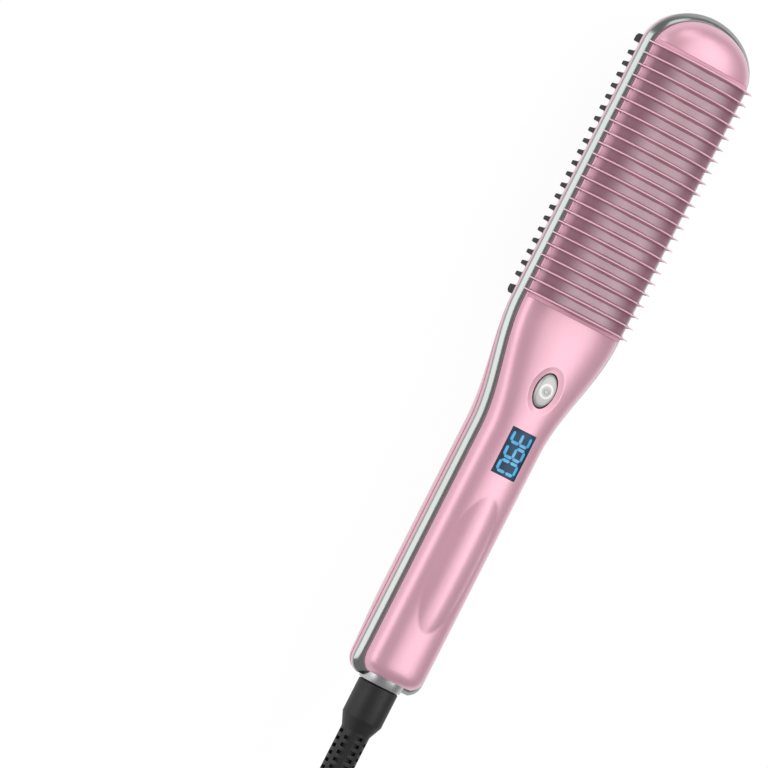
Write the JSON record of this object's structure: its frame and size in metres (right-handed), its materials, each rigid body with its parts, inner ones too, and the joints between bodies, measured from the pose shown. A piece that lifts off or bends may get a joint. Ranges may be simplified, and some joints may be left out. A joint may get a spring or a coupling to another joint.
{
  "type": "hair straightening brush",
  "caption": "Hand-held hair straightening brush: heated plate with crescent fins in front, comb behind, pink handle with display, power button and swivelling cord boot",
  "frame": {"origin": "under the middle of the whole length, on the surface that the comb's teeth stand on", "axes": "+X along the handle towards the head's tip, +Y across, +Z out of the finned front face"},
  "size_m": [0.3316, 0.0492, 0.0501],
  "materials": {
    "pink_plastic": "glossy pearl pink",
    "bright_trim": "bright silver",
    "coated_plate": "satin pink coating",
    "black_plastic": "satin black",
    "window": "clear, dark",
    "display": "dark liquid crystal display",
    "button_chrome": "bright silver",
    "satin_silver": "satin",
    "boot_rubber": "matt black",
    "board": "solder resist",
    "component": "moulded",
    "ceramic_heater": "matt",
    "film": "amber film",
    "mica": "mica sheet",
    "bare_aluminium": "milled",
    "contact_brass": "bright",
    "lead_silicone": "silicone sleeve",
    "screw_steel": "zinc plated"
  },
  "bodies": {
    "housing": {"front_shell": "pink_plastic", "middle_frame": "pink_plastic", "rear_shell": "pink_plastic", "side_trim": "bright_trim", "heating_plate": "coated_plate", "comb_base": "black_plastic", "display_window": "window", "display_module": "display", "cord_collar": "satin_silver", "main_board": "board", "filter_capacitor": "component", "triac": "component", "board_fuse": "ceramic_heater", "tact_switch": "component", "heater_elements": "ceramic_heater", "insulation_film": "film", "heater_clamp": "bare_aluminium", "heat_shield": "mica", "thermistor": "component", "thermistor_lead": "lead_silicone", "thermal_fuse": "bare_aluminium", "thermal_fuse_lead": "lead_silicone", "heater_leads": "lead_silicone", "mains_leads": "lead_silicone", "contact_springs": "contact_brass", "contact_holder": "black_plastic", "shell_screws": "screw_steel", "comb_screws": "screw_steel", "heater_screws": "screw_steel", "board_screws": "screw_steel", "comb_row_1": "black_plastic", "comb_row_2": "black_plastic", "comb_row_3": "black_plastic"},
    "button": {"power_button": "button_chrome", "switch_plunger": "black_plastic"},
    "cord_end": {"cord_boot": "boot_rubber", "swivel_core": "black_plastic", "slip_rings": "contact_brass"}
  },
  "joints": [
    {"name": "power_press", "type": "slide", "parent": "housing", "child": "button", "axis": [0, 0, -1], "range_m": [0, 0.0006], "stiffness_N_per_m": 800},
    {"name": "cord_swivel", "type": "hinge", "parent": "housing", "child": "cord_end", "pos_m": [-0.11065, 0, 0.031], "axis": [1, 0, 0], "continuous": true}
  ]
}
